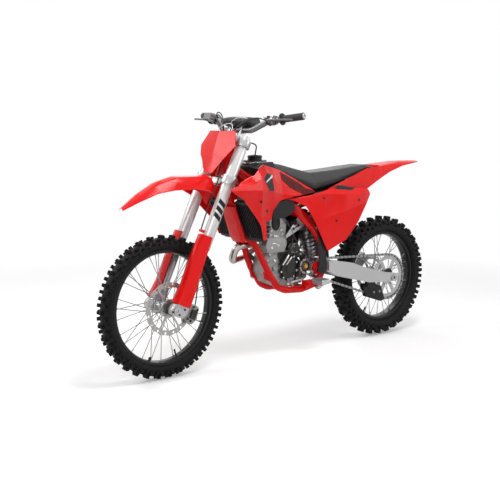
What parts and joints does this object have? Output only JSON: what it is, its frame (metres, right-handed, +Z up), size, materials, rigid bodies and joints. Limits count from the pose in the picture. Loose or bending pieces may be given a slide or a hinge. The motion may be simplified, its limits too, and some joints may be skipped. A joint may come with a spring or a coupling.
{
  "type": "motocross bike",
  "caption": "Off-road competition motorcycle with knobbly tyres, long-travel fork, angular bodywork, long flat seat and an open engine in a tube frame; it steers and its wheels turn.",
  "frame": {"origin": "on top of the seat at its lowest point, on the middle plane, where the rider sits and holds the machine upright", "axes": "+X forward, +Y to the rider's left, +Z up"},
  "size_m": [2.172, 0.812, 1.2701],
  "materials": {
    "red_plastic": "gloss",
    "frame_paint": "gloss",
    "black_plastic": "matte",
    "seat_cover": "matte",
    "bar_foam": "matte",
    "grip_rubber": "matte",
    "tyre_rubber": "matte",
    "rim_black": "satin",
    "bare_aluminium": "satin",
    "fork_outer": "satin",
    "polished_steel": "satin",
    "chrome_leg": "gloss",
    "engine_metal": "satin",
    "cover_metal": "satin",
    "spring_steel": "satin",
    "pipe_steel": "satin",
    "black_rubber": "matte"
  },
  "bodies": {
    "chassis": {"frame": "frame_paint", "pivot_shaft": "polished_steel", "swingarm": "bare_aluminium", "rear_axle": "polished_steel", "chain": "polished_steel", "front_sprocket": "polished_steel", "chain_guide": "black_plastic", "rear_caliper": "bare_aluminium", "shock": "spring_steel", "crankcase": "engine_metal", "cylinder": "engine_metal", "head_cover": "engine_metal", "engine_covers": "cover_metal", "header": "pipe_steel", "silencer": "bare_aluminium", "radiators": "bare_aluminium", "radiator_guards": "black_plastic", "down_tube_cover": "red_plastic", "airbox": "black_plastic", "intake": "black_rubber", "subframe": "bare_aluminium", "fuel_tank": "black_plastic", "fuel_cap": "cover_metal", "seat": "seat_cover", "shrouds": "red_plastic", "duct_covers": "black_plastic", "side_panels": "red_plastic", "rear_fender": "red_plastic", "frame_guards": "black_plastic", "footpegs": "polished_steel", "foot_controls": "bare_aluminium", "head_stay": "bare_aluminium"},
    "steering": {"lower_clamp": "bare_aluminium", "upper_clamp": "bare_aluminium", "fork_tubes": "fork_outer", "fork_sliders": "chrome_leg", "front_axle": "polished_steel", "fork_guards": "red_plastic", "front_caliper": "bare_aluminium", "handlebar": "cover_metal", "grips": "grip_rubber", "levers": "bare_aluminium", "bar_pad": "bar_foam", "front_fender": "red_plastic", "number_plate": "red_plastic"},
    "front_wheel": {"front_tyre": "tyre_rubber", "front_rim": "rim_black", "front_spokes": "polished_steel", "front_hub": "bare_aluminium", "front_disc": "polished_steel"},
    "rear_wheel": {"rear_tyre": "tyre_rubber", "rear_rim": "rim_black", "rear_spokes": "polished_steel", "rear_hub": "bare_aluminium", "rear_disc": "polished_steel", "rear_sprocket": "bare_aluminium"}
  },
  "joints": [
    {"name": "steering_turn", "type": "hinge", "parent": "chassis", "child": "steering", "pos_m": [1.00381, 0, -0.63908], "axis": [-0.4399, 0, 0.898], "range_deg": [-42, 42]},
    {"name": "front_wheel_spin", "type": "hinge", "parent": "steering", "child": "front_wheel", "pos_m": [1.055, 0, -0.614], "axis": [0, 1, 0], "continuous": true},
    {"name": "rear_wheel_spin", "type": "hinge", "parent": "chassis", "child": "rear_wheel", "pos_m": [-0.43, 0, -0.621], "axis": [0, 1, 0], "continuous": true}
  ]
}
